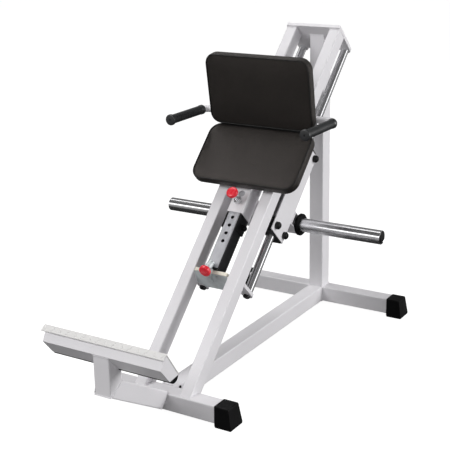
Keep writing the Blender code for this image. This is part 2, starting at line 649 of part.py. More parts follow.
pad_body("Z", -SEAT_HALF + BOARD_IN, SEAT_HALF - BOARD_IN, SEAT_S0 + BOARD_IN,
         SEAT_S1 - BOARD_IN, SEAT_CORNER - BOARD_IN, SEAT_N0, SEAT_N0 + BOARD, PLY, carriage,
         "seat_board", 0.0010)
pad_body("Z", -SEAT_HALF, SEAT_HALF, SEAT_S0, SEAT_S1, SEAT_CORNER,
         SEAT_N0 + BOARD + GAP, SEAT_N1, LEATHER, carriage, "seat_pad", PAD_ROUND)
pad_body("Y", -BACK_HALF, BACK_HALF, BACK_LOW, BACK_HIGH, BACK_CORNER,
         0, BACK_D - BOARD - GAP, LEATHER, lean, "back_pad", PAD_ROUND)
pad_body("Y", -BACK_HALF + BOARD_IN, BACK_HALF - BOARD_IN, BACK_LOW + BOARD_IN,
         BACK_HIGH - BOARD_IN, BACK_CORNER - BOARD_IN, BACK_D - BOARD, BACK_D, PLY, lean,
         "back_board", 0.0010)

# Upright behind the back board. Its foot is cut to the spine's front face, and the handle bar
# passes through it.
face_y, face_z = slope_point(0, SPINE_N1 + GAP)
cl, dl = math.cos(LEAN), math.sin(LEAN)
rel_y, rel_z = face_y - BACK_Y, face_z - BACK_Z
base_y, base_z = rel_y * cl + rel_z * dl, -rel_y * dl + rel_z * cl
run = math.tan(SLOPE - LEAN)
upright = add("back_upright",
              square_tube("Z", -0.022, 0.022, BACK_D + GAP, BACK_D + GAP + 0.034,
                          (base_z - run * base_y, 0.0, run), 0.0700, wall=0.0025,
                          radius=0.0035), WHITE, lean)
boolean(upright, cutter("cut_bar",
                        turned("X", [(-0.05, 0), (-0.05, BAR_R + GAP), (0.05, BAR_R + GAP),
                                     (0.05, 0)], BAR_Y, BAR_Z, 24), carriage_level))


def sweep_flat(points, radius, count, z):
    """A round bar whose centre line lies in a horizontal plane."""
    bm = bmesh.new()
    rings = []
    for k, point in enumerate(points):
        before, after = points[max(k - 1, 0)], points[min(k + 1, len(points) - 1)]
        first = (Vector(point) - Vector(before)).normalized() if k else None
        second = (Vector(after) - Vector(point)).normalized() if k < len(points) - 1 else None
        if first is None:
            tangent, grow = second, 1.0
        elif second is None:
            tangent, grow = first, 1.0
        else:
            tangent = (first + second).normalized()
            grow = 1.0 / max(tangent.dot(first), 0.5)
        normal = Vector((-tangent.y, tangent.x))
        ring = []
        for u, v in circle(0, 0, radius, count):
            spot = Vector(point) + normal * (u * grow)
            ring.append(bm.verts.new((spot.x, spot.y, z + v)))
        rings.append(ring)
    for a, b in zip(rings, rings[1:]):
        for k in range(count):
            j = (k + 1) % count
            bm.faces.new((a[k], a[j], b[j], b[k]))
    bm.faces.new(rings[0])
    bm.faces.new(rings[-1])
    return bm


bend = BAR_Y - GRIP_Y1 - 0.0005
path = [(GRIP_X, GRIP_Y1 - 0.0200)]
path += [(GRIP_X - bend + bend * math.cos(math.radians(15 * k)),
          BAR_Y - bend + bend * math.sin(math.radians(15 * k))) for k in range(7)]
path += [(-x, y) for x, y in reversed(path)]
add("handle_bar", sweep_flat(path, BAR_R, 20, BAR_Z), WHITE, carriage_level, smooth=True)
for word, side in SIDES:
    bore_r, bore_y = BAR_R + GAP, GRIP_Y1 - 0.0205
    profile = [(GRIP_Y0, 0), (GRIP_Y0, GRIP_END_R - 0.0025), (GRIP_Y0 + 0.0025, GRIP_END_R),
               (GRIP_Y0 + 0.011, GRIP_END_R), (GRIP_Y0 + 0.014, GRIP_R),
               (GRIP_Y1 - 0.012, GRIP_R), (GRIP_Y1 - 0.010, GRIP_R + 0.0012),
               (GRIP_Y1 - 0.001, GRIP_R + 0.0012), (GRIP_Y1, GRIP_R), (GRIP_Y1, bore_r),
               (bore_y, bore_r), (bore_y, 0)]
    add("grip_" + word, turned("Y", profile, side * GRIP_X, BAR_Z, 24), RUBBER,
        carriage_level, smooth=True)

# ---- stop tube that slides in the spine, and the upper pull pin ----------------------------
stop = add("stop_tube", square_tube("Y", -STOP_HALF, STOP_HALF, STOP_N0, STOP_N1,
                                    STOP_S0, STOP_S1, wall=0.0025, radius=0.003),
           ZINC, stop_slide)
for k in range(6):
    boolean(stop, cutter("cut_stop_hole_%d" % k,
                         turned("Z", [(0.0, 0), (0.0, HOLE_R), (0.020, HOLE_R), (0.020, 0)],
                                0, HOLE_S - k * HOLE_STEP, 16), stop_slide))
add("stop_foot", extrude("Y", rounded(-STOP_HALF, STOP_HALF, STOP_N0, STOP_N1, 0.003),
                         0.4500 + GAP, STOP_S0 - GAP), PLASTIC, stop_slide)

add("upper_nut", turned("Z", [(SPINE_N1 + GAP, PIN_R + 0.0012), (SPINE_N1 + GAP, 0.0145),
                              (0.0265, 0.0145), (0.0280, 0.0130), (0.0280, PIN_R + 0.0012)],
                        0, HOLE_S, 6), CHROME, carriage)
upper_axis = empty("upper_pin_axis", (0, slope_point(HOLE_S, 0)[0] - BASE_CENTRE,
                                      slope_point(HOLE_S, 0)[1]), SLOPE)
add("upper_pin", turned("Z", [(SPINE_N1 - 0.0025, 0), (SPINE_N1 - 0.0025, 0.0035),
                              (SPINE_N1 - 0.001, PIN_R), (0.0680, PIN_R), (0.0680, 0)],
                        0, 0, 16), CHROME, upper_axis, smooth=True)
add("upper_knob", turned("Z", knob_profile(0.0600, 0.0680), 0, 0, 28), RED, upper_axis,
    smooth=True)
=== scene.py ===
"""Looks of the plate-loaded seated sled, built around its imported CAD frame.

X is across the machine, -Y is the footplate end, +Y the mast end, Z is up. Metres."""
import json
import math

import bmesh
import bpy
import numpy as np
from mathutils import Matrix, Vector


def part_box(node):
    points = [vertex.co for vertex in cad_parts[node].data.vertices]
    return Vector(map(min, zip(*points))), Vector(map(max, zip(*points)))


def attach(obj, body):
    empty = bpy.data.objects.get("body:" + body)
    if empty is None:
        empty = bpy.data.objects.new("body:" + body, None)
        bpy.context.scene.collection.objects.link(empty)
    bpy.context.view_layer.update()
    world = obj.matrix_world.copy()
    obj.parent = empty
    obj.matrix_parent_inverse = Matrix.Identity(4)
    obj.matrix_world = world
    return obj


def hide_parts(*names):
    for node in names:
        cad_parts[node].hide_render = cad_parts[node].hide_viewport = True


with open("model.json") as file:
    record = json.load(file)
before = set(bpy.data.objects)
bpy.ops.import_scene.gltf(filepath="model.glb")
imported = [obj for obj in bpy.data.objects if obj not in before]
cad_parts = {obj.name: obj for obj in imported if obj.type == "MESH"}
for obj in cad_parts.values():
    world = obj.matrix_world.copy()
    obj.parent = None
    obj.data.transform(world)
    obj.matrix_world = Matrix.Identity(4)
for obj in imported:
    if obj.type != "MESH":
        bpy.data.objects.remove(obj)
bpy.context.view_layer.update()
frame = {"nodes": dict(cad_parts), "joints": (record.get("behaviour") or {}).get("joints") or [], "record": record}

# ---- frames of reference, from the joints' axes ---------------------------------------------
AXIS = {joint["name"]: Vector(joint["axis"]).normalized() for joint in frame["joints"]}
ACROSS = Vector((1, 0, 0))
BACK_LEAN = math.radians(8.53)     # the back pad leans forward at the top


def basis(y_axis, z_axis):
    """A rotation whose columns are world X and these two directions."""
    return Matrix((ACROSS, y_axis, z_axis)).transposed().to_4x4()


SLOPE = basis(AXIS["carriage_slide"], AXIS["upper_pin_pull"])   # y up the rails, z out of them
LEAN = basis(Vector((0, -math.sin(BACK_LEAN), math.cos(BACK_LEAN))),
             Vector((0, -math.cos(BACK_LEAN), -math.sin(BACK_LEAN))))   # y up, z out of the pad
LEVEL = Matrix.Identity(4)
SIDES = (("left", -1), ("right", 1))     # with the sign of X there


def node_points(node, turned=LEVEL):
    """A CAD node's points along the axes of a rotated frame."""
    back = turned.inverted()
    return [back @ v.co for v in frame["nodes"][node].data.vertices]


def local_box(node, turned):
    """A CAD node's lowest and highest corners along the axes of a rotated frame."""
    points = np.array(node_points(node, turned))
    return Vector(points.min(0)), Vector(points.max(0))


# ---- materials ------------------------------------------------------------------------------
NOISE_SPAN = (0.35, 0.65)          # the values between which nearly all of a noise lies
PEBBLES = 360.0                    # leather grain, per metre


class Shade:
    """One procedural material, made of a Principled BSDF and a few textures."""

    def __init__(self, name, roughness, metallic=0.0):
        self.mat = bpy.data.materials.new(name)
        self.mat.use_nodes = True
        self.tree = self.mat.node_tree
        self.shader = self.tree.nodes["Principled BSDF"]
        self.shader.inputs["Metallic"].default_value = metallic
        self.shader.inputs["Roughness"].default_value = roughness
        self.place = self.tree.nodes.new("ShaderNodeTexCoord").outputs["Object"]

    def add(self, kind, **values):
        node = self.tree.nodes.new("ShaderNode" + kind)
        for key, value in values.items():
            socket = node.inputs.get(key)
            if socket is None:
                setattr(node, key, value)
            elif isinstance(value, bpy.types.NodeSocket):
                self.tree.links.new(value, socket)
            else:
                socket.default_value = value
        return node

    def stretched(self, scale):
        return self.add("Mapping", Vector=self.place, Scale=scale).outputs["Vector"]

    def noise(self, scale, detail=2.0, place=None):
        return self.add("TexNoise", Vector=place or self.place, Scale=scale,
                        Detail=detail).outputs["Fac"]

    def spread(self, value, low, high, source=NOISE_SPAN):
        node = self.add("MapRange", Value=value)
        ends = (source[0], source[1], low, high)
        for socket, end in zip(("From Min", "From Max", "To Min", "To Max"), ends):
            node.inputs[socket].default_value = end
        return node.outputs["Result"]

    def colour(self, value, dark, light):
        ramp = self.add("ValToRGB", Fac=value)
        for stop, at, shown in zip(ramp.color_ramp.elements, NOISE_SPAN, (dark, light)):
            stop.position = at
            stop.color = (*shown, 1.0)
        self.into("Base Color", ramp.outputs["Color"])
        return ramp.outputs["Color"]

    def into(self, socket, value):
        if isinstance(value, bpy.types.NodeSocket):
            self.tree.links.new(value, self.shader.inputs[socket])
        else:
            self.shader.inputs[socket].default_value = value

    def bump(self, height, depth, strength=1.0):
        before = self.shader.inputs["Normal"].links
        node = self.add("Bump", Height=height, Distance=depth, Strength=strength)
        if before:
            self.tree.links.new(before[0].from_socket, node.inputs["Normal"])
        self.into("Normal", node.outputs["Normal"])


def tint(colour, factor):
    """The same colour, lighter or darker by this factor."""
    return tuple(min(1.0, c * factor) for c in colour)


def powder_coat(name, colour):
    """Satin powder coat: a faint orange peel, and slow changes of tone and gloss."""
    shade = Shade(name, 0.36)
    shade.colour(shade.noise(2.3, 4.0), tint(colour, 0.955), tint(colour, 1.02))
    shade.into("Roughness", shade.spread(shade.noise(35.0, 3.0), 0.33, 0.45))
    shade.bump(shade.noise(420.0, 2.0), 0.00035, 0.35)
    return shade.mat


def polished(name, colour, low, high, marks, sides=1.0):
    """Plated or drawn steel with fine marks, whose scale is given along each axis.

    Sides is the brightness of faces that look across the machine: painted shade, standing in for the shadow that
    the rails cast on them."""
    shade = Shade(name, low, 1.0)
    streaks = shade.noise(1.0, 4.0, shade.stretched(marks))
    unshaded_colour = shade.colour(streaks, tint(colour, 0.88), colour)
    # painted shade: faces that look across the machine are darkened by the sides factor
    if sides < 1.0:
        axes = shade.add("SeparateXYZ", Vector=shade.add("TexCoord").outputs["Normal"])
        across = shade.add("Math", operation="ABSOLUTE")
        shade.tree.links.new(axes.outputs["X"], across.inputs[0])
        bright = shade.spread(across.outputs[0], 1.0, sides, (0.45, 0.70))
        shaded_sides_colour = shade.add("VectorMath", operation="SCALE")
        shade.tree.links.new(unshaded_colour, shaded_sides_colour.inputs[0])
        shade.tree.links.new(bright, shaded_sides_colour.inputs["Scale"])
        shade.into("Base Color", shaded_sides_colour.outputs[0])
    shade.into("Roughness", shade.spread(streaks, low, high))
    shade.bump(streaks, 0.00004, 0.3)
    return shade.mat


def chromed(name, axis):
    """Polished round bar: its fine turning marks smear reflections along the bar's axis."""
    shade = Shade(name, 0.23, 1.0)
    shade.colour(shade.noise(7.0, 3.0), (0.80, 0.80, 0.82), (0.87, 0.87, 0.885))
    shade.into("Roughness", shade.spread(shade.noise(24.0, 2.0), 0.20, 0.25))
    shade.into("Anisotropic", 0.95)
    lengthwise = shade.add("CombineXYZ", X=axis.x, Y=axis.y, Z=axis.z)
    shade.into("Tangent", lengthwise.outputs["Vector"])
    return shade.mat


def galvanised(name, colour):
    """Dull zinc-coated steel with a faint patchiness."""
    shade = Shade(name, 0.5, 0.25)
    shade.colour(shade.noise(38.0, 4.0), tint(colour, 0.88), tint(colour, 1.08))
    shade.into("Roughness", shade.spread(shade.noise(120.0, 3.0), 0.42, 0.58))
    shade.bump(shade.noise(600.0, 2.0), 0.00015, 0.35)
    return shade.mat


def moulded(name, colour, rough, grain, depth, shine=0.3):
    """Rubber or plastic with a moulded grain."""
    shade = Shade(name, rough)
    shade.into("Specular IOR Level", shine)
    shade.colour(shade.noise(14.0, 3.0), tint(colour, 0.8), tint(colour, 1.35))
    shade.into("Roughness", shade.spread(shade.noise(60.0, 2.0), rough - 0.06, rough + 0.08))
    shade.bump(shade.noise(grain, 2.0), depth, 0.5)
    return shade.mat


def leatherette(name, colour):
    """Embossed leatherette: pebbles with creases between them, slightly shinier on top."""
    shade = Shade(name, 0.46)
    warped = shade.add("VectorMath", operation="ADD")
    swirl = shade.add("TexNoise", Vector=shade.place, Scale=160.0, Detail=2.0)
    small = shade.add("VectorMath", operation="SCALE", Scale=0.0016)
    shade.tree.links.new(swirl.outputs["Color"], small.inputs[0])
    shade.tree.links.new(shade.place, warped.inputs[0])
    shade.tree.links.new(small.outputs[0], warped.inputs[1])
    cells = shade.add("TexVoronoi", feature="DISTANCE_TO_EDGE", Vector=warped.outputs[0],
                      Scale=PEBBLES)
    pebbles = shade.spread(cells.outputs["Distance"], 0.0, 1.0, (0.0, 0.22))
    shade.colour(shade.noise(9.0, 4.0), tint(colour, 0.8), tint(colour, 1.25))
    shade.into("Roughness", shade.spread(pebbles, 0.54, 0.36, (0.0, 1.0)))
    shade.bump(shade.noise(11.0, 3.0), 0.0022, 0.35)
    shade.bump(pebbles, 0.00045, 0.8)
    shade.bump(shade.noise(1400.0, 1.0), 0.00006, 0.4)
    shade.into("Sheen Weight", 0.06)
    shade.into("Sheen Roughness", 0.4)
    shade.into("Specular Tint", (1.0, 0.90, 0.86, 1.0))
    return shade.mat


def glossy_red(name):
    """Shiny moulded plastic with a thin clear skin and slight scuffing."""
    shade = Shade(name, 0.28)
    shade.colour(shade.noise(40.0, 3.0), (0.74, 0.012, 0.028), (0.86, 0.020, 0.045))
    shade.into("Roughness", shade.spread(shade.noise(90.0, 3.0), 0.22, 0.36))
    shade.bump(shade.noise(500.0, 2.0), 0.00006, 0.3)
    shade.into("Coat Weight", 0.3)
    return shade.mat


WHITE = (0.79, 0.775, 0.80)
BLACK = (0.0042, 0.0042, 0.0047)
MATERIAL = {
    "white_paint": powder_coat("white_powder_coat", WHITE),
    "tread_plate": powder_coat("painted_checker_plate", (0.78, 0.77, 0.76)),
    "chrome": chromed("polished_chrome", ACROSS),
    "rod": chromed("polished_rod", AXIS["carriage_slide"]),
    "pin_steel": polished("polished_pin_steel", (0.70, 0.70, 0.72), 0.16, 0.26,
                          (200.0, 200.0, 200.0)),
    "zinc": polished("zinc_plating", (0.56, 0.56, 0.59), 0.30, 0.46, (900.0, 30.0, 30.0)),
    # the plated tube's side faces get painted shade, a tenth as bright as its front
    "telescope": polished("zinc_plated_tube", (0.54, 0.54, 0.57), 0.30, 0.46,
                          (900.0, 30.0, 30.0), sides=0.10),
    "plain_steel": polished("turned_steel", (0.52, 0.56, 0.56), 0.34, 0.48,
                            (300.0, 300.0, 300.0)),
    "rubber": moulded("black_rubber", (0.0032, 0.0032, 0.0036), 0.50, 700.0, 0.00025, 0.12),
    "dull_steel": galvanised("dull_galvanised_steel", (0.56, 0.60, 0.61)),
    "grip": moulded("grip_rubber", (0.0120, 0.0128, 0.0142), 0.42, 700.0, 0.0002, 0.7),
    "black_plastic": moulded("black_plastic", BLACK, 0.38, 900.0, 0.00012),
    "leatherette": leatherette("black_leatherette", (0.0060, 0.0049, 0.0039)),
    "piping": moulded("black_piping", (0.004, 0.004, 0.004), 0.50, 800.0, 0.0001),
    "thread": moulded("black_thread", (0.010, 0.010, 0.010), 0.70, 2500.0, 0.0001),
    "board": moulded("black_lining", (0.020, 0.020, 0.020), 0.80, 300.0, 0.0004),
    "red_knob": glossy_red("red_knob_plastic"),
    "nylon": moulded("cream_nylon", (0.70, 0.67, 0.58), 0.45, 400.0, 0.0001),
}
NODE_LOOK = {"guide_rod_left": "rod", "guide_rod_right": "rod", "upper_pin": "pin_steel",
             "lower_pin": "pin_steel", "upper_nut": "pin_steel", "stop_tube": "telescope",
             "stop_block": "dull_steel", "pin_bracket": "dull_steel", "pin_barrel": "dull_steel"}
SLOT_OF = {part["node"]: part["material_slot"] for part in frame["record"]["subparts"]}
for node_name, obj in frame["nodes"].items():
    obj.data.materials.clear()
    obj.data.materials.append(MATERIAL[NODE_LOOK.get(node_name, SLOT_OF[node_name])])


# ---- building blocks ------------------------------------------------------------------------
def piece(name, bm, look, body, place=LEVEL, sharp=40.0):
    """Makes a named piece from a bmesh, puts it in place and lets it ride on a CAD body."""
    bmesh.ops.recalc_face_normals(bm, faces=bm.faces)
    mesh = bpy.data.meshes.new(name)
    bm.to_mesh(mesh)
    bm.free()
    mesh.transform(place)
    mesh.shade_smooth()
    mesh.set_sharp_from_angle(angle=math.radians(sharp))
    mesh.materials.append(MATERIAL[look])
    obj = bpy.data.objects.new(name, mesh)
    bpy.context.scene.collection.objects.link(obj)
    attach(obj, body)
    return obj


def angles(count):
    """Evenly spaced angles round one full turn."""
    return [2 * math.pi * k / count for k in range(count)]


def skin(bm, rings, closed=False, capped=False):
    """Joins each ring of points to the next with quads. A closed skin joins the last to the
    first, and a capped one gets a face at each end."""
    count = len(rings[0])
    for a, b in zip(rings, rings[1:] + (rings[:1] if closed else [])):
        for k in range(count):
            j = (k + 1) % count
            bm.faces.new((a[k], a[j], b[j], b[k]))
    if capped:
        bm.faces.new(rings[0])
        bm.faces.new(rings[-1])


def even_path(points, pitch):
    """The closed line through these points, sampled at an even pitch: (point, direction)."""
    result, carry = [], 0.0
    for a, b in zip(points, points[1:] + points[:1]):
        length = (b - a).length
        while carry < length:
            result.append((a.lerp(b, carry / length), (b - a).normalized()))
            carry += pitch
        carry -= length
    return result


def lathe(profile, segments, radius_at=None):
    """A body turned about z from (z, radius) pairs, ending on the axis at both ends.
    radius_at(z, radius, angle) may vary the radius round the body."""
    bm = bmesh.new()
    rings = []
    for z, radius in profile:
        if radius == 0:
            rings.append([bm.verts.new((0, 0, z))])
            continue
        ring = []
        for a in angles(segments):
            r = radius_at(z, radius, a) if radius_at else radius
            ring.append(bm.verts.new((r * math.cos(a), r * math.sin(a), z)))
        rings.append(ring)
    for a, b in zip(rings, rings[1:]):
        for k in range(segments):
            j = (k + 1) % segments
            corners = [a[k % len(a)], a[j % len(a)], b[j % len(b)], b[k % len(b)]]
            corners = list(dict.fromkeys(corners))
            if len(corners) > 2:
                bm.faces.new(corners)
    return bm


def facing(point, direction, twist=ACROSS):
    """A place whose z axis points this way, at this point."""
    z = Vector(direction).normalized()
    x = (twist - z * twist.dot(z)).normalized()
    y = z.cross(x)
    place = Matrix((x, y, z)).transposed().to_4x4()
    place.translation = Vector(point)
    return place


def tube_along(points, radius, sides, closed, ripple=0.0, ripple_pitch=1):
    """A round bar along a line of 3-D points. A ripple makes it a weld bead."""
    bm = bmesh.new()
    count = len(points)
    rings = []
    up = None
    for k, point in enumerate(points):
        after = points[(k + 1) % count] if closed or k < count - 1 else point
        before = points[k - 1] if closed or k else point
        ahead = (after - before).normalized()
        if up is None:
            up = ahead.orthogonal().normalized()
        up = (up - ahead * up.dot(ahead)).normalized()
        side = ahead.cross(up)
        r = radius * (1 + ripple * math.cos(2 * math.pi * k / ripple_pitch))
        rings.append([bm.verts.new(point + (up * math.cos(a) + side * math.sin(a)) * r)
                      for a in angles(sides)])
    skin(bm, rings, closed, capped=not closed)
    return bm


def thread(bm, start, end, up, radius):
    """One stitch or staple: a short thread whose ends dip into the surface."""
    side = (end - start).cross(up).normalized()
    rings = []
    for t, lift, size in ((0, -0.0008, 0.5), (0.25, 0.0, 1.0), (0.75, 0.0, 1.0),
                          (1, -0.0008, 0.5)):
        spot = start.lerp(end, t) + up * lift
        rings.append([bm.verts.new(spot + (side * math.cos(a) + up * math.sin(a)) * radius * size)
                      for a in angles(6)])
    skin(bm, rings, capped=True)


# ---- pads -----------------------------------------------------------------------------------
CORNER = {"seat_pad": 0.045, "back_pad": 0.040}
CORNER_STEPS = 10          # even, because the cover's patches meet in the middle of a corner
CLOTH_CELL = 0.0055
CLOTH_FRAMES = 20
SEAM_DROP = 0.0045         # the seam lies this far below the CAD pad's face
HELD_BAND = 0.0045         # the cover is held this far below the seam and above the board
SWELL_LIMIT = 0.0095
BORDER_SHARE = 0.2         # how much of that limit the pad's sides may swell
BORDER_END = 0.0040        # the straight border stops this far from the seam and the back
BACK_ROWS = ((0.0030, 0.0), (0.0008, 0.0012))          # inset and height above the back
SEAM_ROWS = ((0.0004, -0.0018), (0.0016, -0.0004), (0.0028, -0.0004),
             (0.0038, -0.0014), (0.0050, -0.0004), (0.0066, 0.0004))    # the same at the seam
PIPING_IN = 0.0038         # from the pad's outline to the piping, and to the stitches
STITCH_IN = 0.0082
PIPING_R = 0.0019
STITCH_PITCH = 0.0062
STITCH_R = 0.00042
EDGE_COUNTS = (40, 24)     # points along the sides of a loop that carries piping or fixings


def pad_loop(low, high, inset, radius, counts):
    """A rounded rectangle moved in by inset, as one loop of points that starts in the middle
    of the lower left corner. Every loop of a pad has its points in the same places."""
    x0, x1, y0, y1 = low.x + inset, high.x - inset, low.y + inset, high.y - inset
    r = max(radius - inset, 0.002)
    points = []
    for cx, cy, turn, count in ((x0 + r, y0 + r, 180, counts[0]), (x1 - r, y0 + r, 270, counts[1]),
                                (x1 - r, y1 - r, 0, counts[0]), (x0 + r, y1 - r, 90, counts[1])):
        arc = []
        for k in range(CORNER_STEPS + 1):
            a = math.radians(turn + 90 * k / CORNER_STEPS)
            arc.append(Vector((cx + r * math.cos(a), cy + r * math.sin(a))))
        points.append((arc, count))
    loop = []
    for (arc, count), (after, _) in zip(points, points[1:] + points[:1]):
        loop += arc
        loop += [arc[-1].lerp(after[0], k / count) for k in range(1, count)]
    start = CORNER_STEPS // 2
    return loop[start:] + loop[:start]


def patch(bm, loop, counts, z, ring):
    """Fills a loop with a grid of quads that follows its four sides."""
    nx, ny = counts[0] + CORNER_STEPS, counts[1] + CORNER_STEPS
    bottom = loop[:nx + 1]
    right = loop[nx:nx + ny + 1]
    top = loop[nx + ny:2 * nx + ny + 1][::-1]
    left = (loop[2 * nx + ny:] + loop[:1])[::-1]
    rim = {}
    for k in range(nx + 1):
        rim[k, 0] = ring[k]
        rim[k, ny] = ring[2 * nx + ny - k]
    for k in range(ny + 1):
        rim[nx, k] = ring[nx + k]
        rim[0, k] = ring[(2 * nx + 2 * ny - k) % len(ring)]
    for i in range(1, nx):
        u = i / nx
        for j in range(1, ny):
            v = j / ny
            spot = (bottom[i] * (1 - v) + top[i] * v + left[j] * (1 - u) + right[j] * u
                    - bottom[0] * (1 - u) * (1 - v) - bottom[nx] * u * (1 - v)
                    - top[0] * (1 - u) * v - top[nx] * u * v)
            rim[i, j] = bm.verts.new((spot.x, spot.y, z))
    for i in range(nx):
        for j in range(ny):
            bm.faces.new((rim[i, j], rim[i + 1, j], rim[i + 1, j + 1], rim[i, j + 1]))


def pad_cover(low, high, radius):
    """The sewn cover before it is filled: back, straight border, seam and flat face."""
    counts = (round((high.x - low.x - 2 * radius) / CLOTH_CELL),
              round((high.y - low.y - 2 * radius) / CLOTH_CELL))
    seam = high.z - SEAM_DROP
    rows = [(inset, low.z + rise) for inset, rise in BACK_ROWS]
    wall = seam - BORDER_END - (low.z + BORDER_END)
    steps = max(2, round(wall / CLOTH_CELL))
    rows += [(0.0, low.z + BORDER_END + wall * k / steps) for k in range(steps + 1)]
    rows += [(inset, seam + rise) for inset, rise in SEAM_ROWS]
    bm = bmesh.new()
    rings = []
    for inset, z in rows:
        loop = pad_loop(low, high, inset, radius, counts)
        rings.append([bm.verts.new((p.x, p.y, z)) for p in loop])
    skin(bm, rings)
    patch(bm, pad_loop(low, high, rows[0][0], radius, counts), counts, low.z, rings[0])
    patch(bm, pad_loop(low, high, rows[-1][0], radius, counts), counts, rows[-1][1], rings[-1])
    bmesh.ops.recalc_face_normals(bm, faces=bm.faces)
    return bm


def evaluated(obj):
    """The object's mesh with its modifiers applied."""
    graph = bpy.context.evaluated_depsgraph_get()
    return bpy.data.meshes.new_from_object(obj.evaluated_get(graph))


def swell(obj, low, high):
    """Fills the cover like foam: the seam and the stapled back hold, the rest may rise."""
    rest = np.array([v.co for v in obj.data.vertices])
    seam = high.z - SEAM_DROP
    on_face = rest[:, 2] > seam
    held = ((rest[:, 2] > seam - HELD_BAND) & ~on_face) | (rest[:, 2] < low.z + HELD_BAND)
    group = obj.vertex_groups.new(name="held")
    group.add([int(k) for k in np.nonzero(held)[0]], 1.0, "REPLACE")
    cloth = obj.modifiers.new("cover", "CLOTH")
    settings = cloth.settings
    settings.vertex_group_mass = "held"
    settings.mass = 0.25
    settings.quality = 6
    settings.tension_stiffness = settings.compression_stiffness = 24.0
    settings.shear_stiffness = 12.0
    settings.bending_stiffness = 1.5
    settings.use_pressure = True
    settings.uniform_pressure_force = 4.0
    settings.effector_weights.gravity = 0.0
    cloth.collision_settings.use_collision = False
    for step in range(1, CLOTH_FRAMES + 1):
        bpy.context.scene.frame_set(step)
    blown = evaluated(obj)
    moved = np.array([v.co for v in blown.vertices])
    shift = moved - rest
    size = np.linalg.norm(shift, axis=1)
    limit = np.where(on_face, SWELL_LIMIT, SWELL_LIMIT * BORDER_SHARE)
    capped = limit * np.tanh(size / limit)
    moved = rest + shift * (capped / np.maximum(size, 1e-9))[:, None]
    moved[held] = rest[held]
    moved[:, 2] = np.maximum(moved[:, 2], low.z)
    obj.modifiers.remove(cloth)
    bpy.context.scene.frame_set(1)
    obj.data.vertices.foreach_set("co", moved.astype(np.float32).ravel())
    obj.data.update()


def make_pad(node, turned, name):
    """A sewn pad that stands for a CAD pad: filled cover, piping and stitches."""
    low, high = local_box(node, turned)
    radius = CORNER[node]
    mesh = bpy.data.meshes.new(name)
    bm = pad_cover(low, high, radius)
    bm.to_mesh(mesh)
    bm.free()
    obj = bpy.data.objects.new(name, mesh)
    bpy.context.scene.collection.objects.link(obj)
    swell(obj, low, high)
    finer = obj.modifiers.new("finer", "SUBSURF")
    finer.levels = finer.render_levels = 1
    obj.data = evaluated(obj)
    obj.modifiers.clear()
    obj.data.transform(turned)
    obj.data.shade_smooth()
    obj.data.materials.clear()
    obj.data.materials.append(MATERIAL["leatherette"])
    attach(obj, "carriage")
    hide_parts(node)

    loop = pad_loop(low, high, PIPING_IN, radius, EDGE_COUNTS)
    level = high.z - SEAM_DROP
    path = [Vector((p.x, p.y, level + 0.0002)) for p, _ in even_path(loop, 0.006)]
    piece(name + "_piping", tube_along(path, PIPING_R, 8, True), "piping", "carriage", turned)
    bm = bmesh.new()
    loop = pad_loop(low, high, STITCH_IN, radius, EDGE_COUNTS)
    for p, ahead in even_path(loop, STITCH_PITCH):
        middle = Vector((p.x, p.y, level + 0.0012))
        along = Vector((ahead.x, ahead.y, 0)) * STITCH_PITCH * 0.34
        thread(bm, middle - along, middle + along, Vector((0, 0, 1)), STITCH_R)
    piece(name + "_stitches", bm, "thread", "carriage", turned)


make_pad("seat_pad", SLOPE, "seat_cushion")
make_pad("back_pad", LEAN, "back_cushion")


# ---- grips ----------------------------------------------------------------------------------
GRIP_RIB = 0.0110          # pitch of the finger ribs
RIB_DEPTH = 0.0019
GRIP_END = 0.0140          # length of the flanged front end
GRIP_NECK = 0.0150         # length of the plain stretch and collar at the far end
FLANGE_RISE = 0.0034       # how far the flange stands out of the grip


def grip_profile(length, radius, end_radius):
    """From the flanged front end, with its dimple, to the collar at the handle bar's bend."""
    flange = GRIP_END - 0.0030
    soft = 0.0035
    # the dimple in the end, then a quarter round out to the flange
    profile = [(0.0040, 0), (0.0040, 0.0026), (0.0, 0.0034), (0.0, end_radius - soft)]
    profile += [(soft - soft * math.cos(math.radians(30 * k)),
                 end_radius - soft + soft * math.sin(math.radians(30 * k))) for k in range(1, 4)]
    profile += [(flange - 0.0020, end_radius), (flange, end_radius - 0.0010), (GRIP_END, radius)]
    step = GRIP_RIB / 10
    count = int((length - GRIP_NECK - GRIP_END) / step)
    profile += [(GRIP_END + step * k, radius) for k in range(1, count)]
    profile += [(length - 0.0130, radius), (length - 0.0115, radius + 0.0012),
                (length - 0.0020, radius + 0.0014), (length, radius), (length, 0)]
    return profile


def make_grip(side):
    """A ribbed rubber grip in the place of the CAD's plain one."""
    node = "grip_" + side
    low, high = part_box(node)
    length = high.y - low.y
    end_radius = (high.x - low.x) / 2
    radius = end_radius - FLANGE_RISE

    def rib(z, r, angle):
        if r != radius or not GRIP_END < z < length - GRIP_NECK:
            return r
        under = 0.25 + 0.75 * max(0.0, math.sin(angle)) ** 0.6
        wave = 0.5 + 0.5 * math.cos(2 * math.pi * (z - GRIP_END) / GRIP_RIB)
        return r - RIB_DEPTH * under * wave ** 2

    middle = Vector(((low.x + high.x) / 2, low.y, (low.z + high.z) / 2))
    place = facing(middle, (0, 1, 0))
    grip = piece("grip_sleeve_" + side, lathe(grip_profile(length, radius, end_radius), 56, rib),
                 "grip", "carriage", place, sharp=50)
    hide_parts(node)


for side_name, _ in SIDES:
    make_grip(side_name)


# ---- red pull knobs -------------------------------------------------------------------------
KNURLS = 24
KNURL_DEPTH = 0.0005


